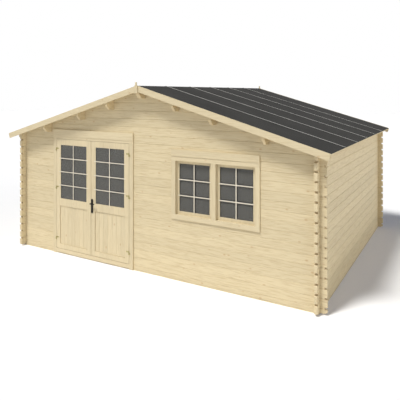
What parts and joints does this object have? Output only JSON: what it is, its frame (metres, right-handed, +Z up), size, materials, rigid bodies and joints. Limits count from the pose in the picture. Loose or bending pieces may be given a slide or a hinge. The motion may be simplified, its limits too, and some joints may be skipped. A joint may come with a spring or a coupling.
{
  "type": "wooden garden shed",
  "caption": "Log-walled garden shed with a low felted gable roof, a glazed double door that opens outwards and a fixed double window.",
  "frame": {"origin": "on the ground at the middle of the plan", "axes": "+X along the front wall to the right, +Y from front to back, +Z up"},
  "size_m": [6.09, 5.0446, 3.073],
  "materials": {
    "log_wood": "bare planed softwood logs",
    "board_wood": "bare planed softwood boards",
    "roof_felt": "mineral roofing felt",
    "pane_glass": "clear window glass",
    "hinge_brass": "yellow plated steel",
    "black_iron": "black coated"
  },
  "bodies": {
    "shed": {"base_beams": "log_wood", "left_wall": "log_wood", "right_wall": "log_wood", "back_wall": "log_wood", "front_sill_log": "log_wood", "front_wall_left": "log_wood", "front_wall_below_window": "log_wood", "front_wall_middle": "log_wood", "front_wall_right": "log_wood", "front_gable": "log_wood", "ridge_purlin": "log_wood", "left_purlins": "log_wood", "right_purlins": "log_wood", "roof_boards_left": "board_wood", "roof_boards_right": "board_wood", "felt_left": "roof_felt", "felt_right": "roof_felt", "bargeboard_front_left": "board_wood", "bargeboard_front_right": "board_wood", "bargeboard_back_left": "board_wood", "bargeboard_back_right": "board_wood", "finial_front": "board_wood", "finial_back": "board_wood", "floor_bearers": "board_wood", "floor_boards": "board_wood", "door_jambs": "board_wood", "door_threshold": "board_wood", "door_head": "board_wood", "door_header_board": "board_wood", "door_hinge_pins": "hinge_brass", "window_head": "board_wood", "window_sill": "board_wood", "window_jambs": "board_wood", "window_mullion": "board_wood", "window_header_board": "board_wood", "window_sashes": "board_wood", "window_glass": "pane_glass"},
    "left_door": {"left_door_frame": "board_wood", "left_door_panel": "board_wood", "left_door_beads": "board_wood", "left_door_glass": "pane_glass", "left_door_hinges": "hinge_brass"},
    "right_door": {"right_door_frame": "board_wood", "right_door_panel": "board_wood", "right_door_beads": "board_wood", "right_door_glass": "pane_glass", "right_door_hinges": "hinge_brass", "lock_plates": "black_iron"},
    "lever": {"door_lever": "black_iron"}
  },
  "joints": [
    {"name": "left_door_hinge", "type": "hinge", "parent": "shed", "child": "left_door", "pos_m": [-1.9595, -2.329, 1.19], "axis": [0, 0, -1], "range_deg": [0, 110]},
    {"name": "right_door_hinge", "type": "hinge", "parent": "shed", "child": "right_door", "pos_m": [-0.2905, -2.329, 1.19], "axis": [0, 0, 1], "range_deg": [0, 110]},
    {"name": "lever_turn", "type": "hinge", "parent": "right_door", "child": "lever", "pos_m": [-1.097, -2.299, 0.995], "axis": [0, 1, 0], "range_deg": [0, 40], "stiffness_Nm_per_rad": 1.2, "springref_deg": -20.05}
  ]
}
